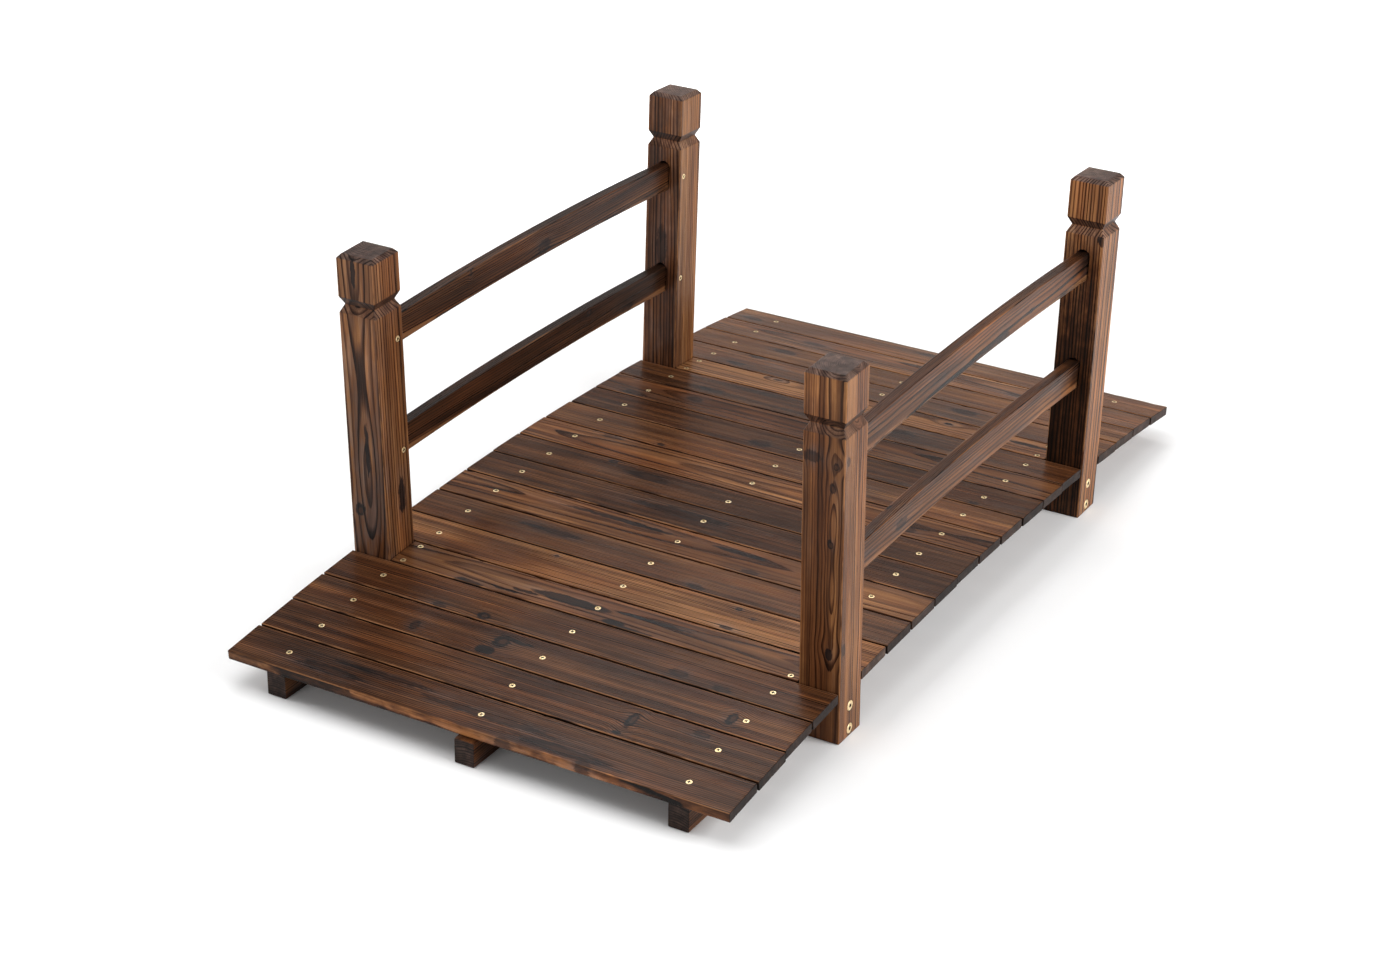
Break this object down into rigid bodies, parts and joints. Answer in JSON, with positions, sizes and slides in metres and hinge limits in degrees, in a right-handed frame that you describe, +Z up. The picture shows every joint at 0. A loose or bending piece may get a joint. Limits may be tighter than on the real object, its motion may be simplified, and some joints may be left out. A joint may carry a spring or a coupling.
{
  "type": "garden footbridge",
  "caption": "Low-arched wooden garden footbridge: a boarded deck on curved stringers between square grooved posts that carry arched rails on both sides.",
  "frame": {"origin": "on the ground, under the middle of the span", "axes": "+X along the bridge towards its rear end, +Y to its left side, +Z up"},
  "size_m": [1.517, 0.82, 0.5636],
  "materials": {
    "deck_wood": "satin stain over charred softwood",
    "stringer_wood": "dark stain over charred softwood",
    "post_wood": "satin stain over charred softwood",
    "rail_wood": "satin stain over charred softwood",
    "brass_fastener": "yellow zinc plate"
  },
  "bodies": {
    "root": {"deck_board_01": "deck_wood", "deck_board_02": "deck_wood", "deck_board_03": "deck_wood", "deck_board_04": "deck_wood", "deck_board_05": "deck_wood", "deck_board_06": "deck_wood", "deck_board_07": "deck_wood", "deck_board_08": "deck_wood", "deck_board_09": "deck_wood", "deck_board_10": "deck_wood", "deck_board_11": "deck_wood", "deck_board_12": "deck_wood", "deck_board_13": "deck_wood", "deck_board_14": "deck_wood", "deck_board_15": "deck_wood", "deck_board_16": "deck_wood", "deck_board_17": "deck_wood", "deck_board_18": "deck_wood", "deck_board_19": "deck_wood", "deck_board_20": "deck_wood", "left_stringer": "stringer_wood", "centre_stringer": "stringer_wood", "right_stringer": "stringer_wood", "front_left_post": "post_wood", "front_right_post": "post_wood", "rear_left_post": "post_wood", "rear_right_post": "post_wood", "left_upper_rail": "rail_wood", "left_lower_rail": "rail_wood", "right_upper_rail": "rail_wood", "right_lower_rail": "rail_wood"}
  },
  "joints": []
}
